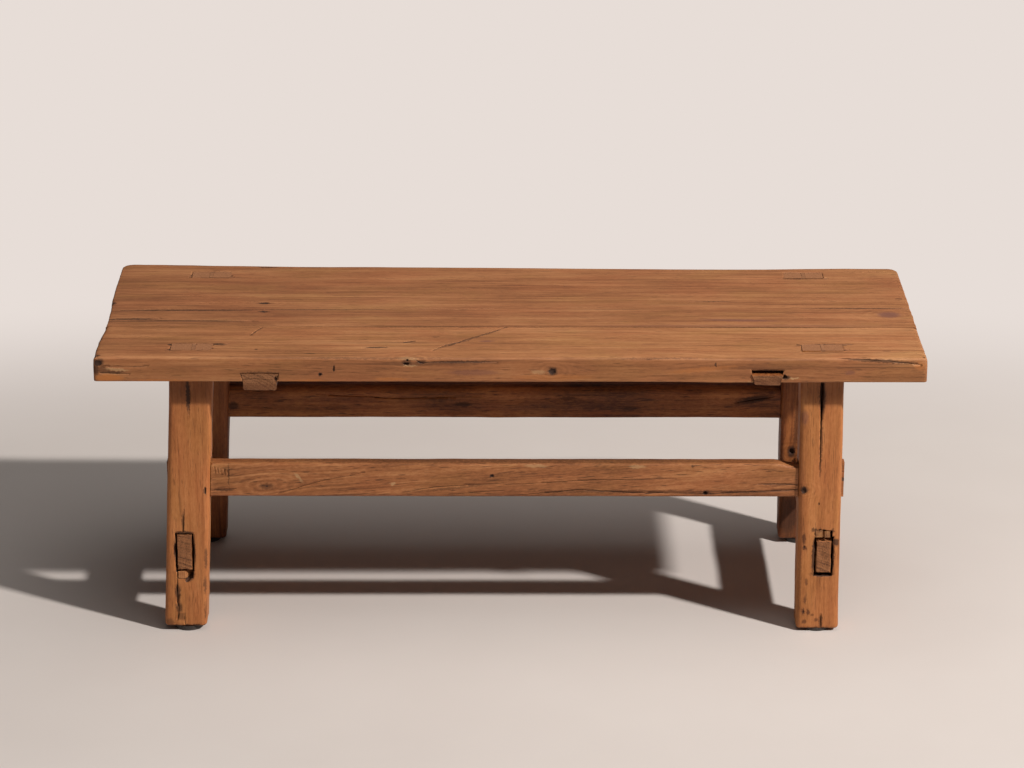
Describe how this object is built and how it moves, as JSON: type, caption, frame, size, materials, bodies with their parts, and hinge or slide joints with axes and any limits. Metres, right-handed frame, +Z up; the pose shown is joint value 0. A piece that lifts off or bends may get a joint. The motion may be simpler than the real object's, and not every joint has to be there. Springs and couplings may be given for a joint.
{
  "type": "kang table",
  "caption": "Low rustic hardwood table with a two-board top on splayed square legs, tied by wedged through-tenon stretchers and dovetail battens.",
  "frame": {"origin": "on the floor, at the middle of the bounding box", "axes": "+X along the table to its right end, -Y is the front, +Z up"},
  "size_m": [1.2, 0.4313, 0.439],
  "materials": {
    "top_wood": "old waxed elm, worn satin",
    "leg_wood": "old waxed elm, worn satin",
    "stretcher_wood": "old waxed elm, worn satin",
    "batten_wood": "old elm, dry and matt",
    "wedge_wood": "old hardwood end grain, matt",
    "pin_bamboo": "split bamboo, dry",
    "pad": "dark matt pad"
  },
  "bodies": {
    "root": {"top_front_board": "top_wood", "top_rear_board": "top_wood", "seam_pins": "pin_bamboo", "batten_left": "batten_wood", "batten_right": "batten_wood", "end_stretcher_left": "stretcher_wood", "end_stretcher_right": "stretcher_wood", "long_stretcher_front": "stretcher_wood", "long_stretcher_rear": "stretcher_wood", "leg_front_left": "leg_wood", "foot_pad_front_left": "pad", "leg_wedge_front_left": "wedge_wood", "long_wedge_front_left": "wedge_wood", "key_wedge_front_left": "wedge_wood", "leg_front_right": "leg_wood", "foot_pad_front_right": "pad", "leg_wedge_front_right": "wedge_wood", "long_wedge_front_right": "wedge_wood", "key_wedge_front_right": "wedge_wood", "leg_rear_left": "leg_wood", "foot_pad_rear_left": "pad", "leg_wedge_rear_left": "wedge_wood", "long_wedge_rear_left": "wedge_wood", "key_wedge_rear_left": "wedge_wood", "leg_rear_right": "leg_wood", "foot_pad_rear_right": "pad", "leg_wedge_rear_right": "wedge_wood", "long_wedge_rear_right": "wedge_wood", "key_wedge_rear_right": "wedge_wood"}
  },
  "joints": []
}
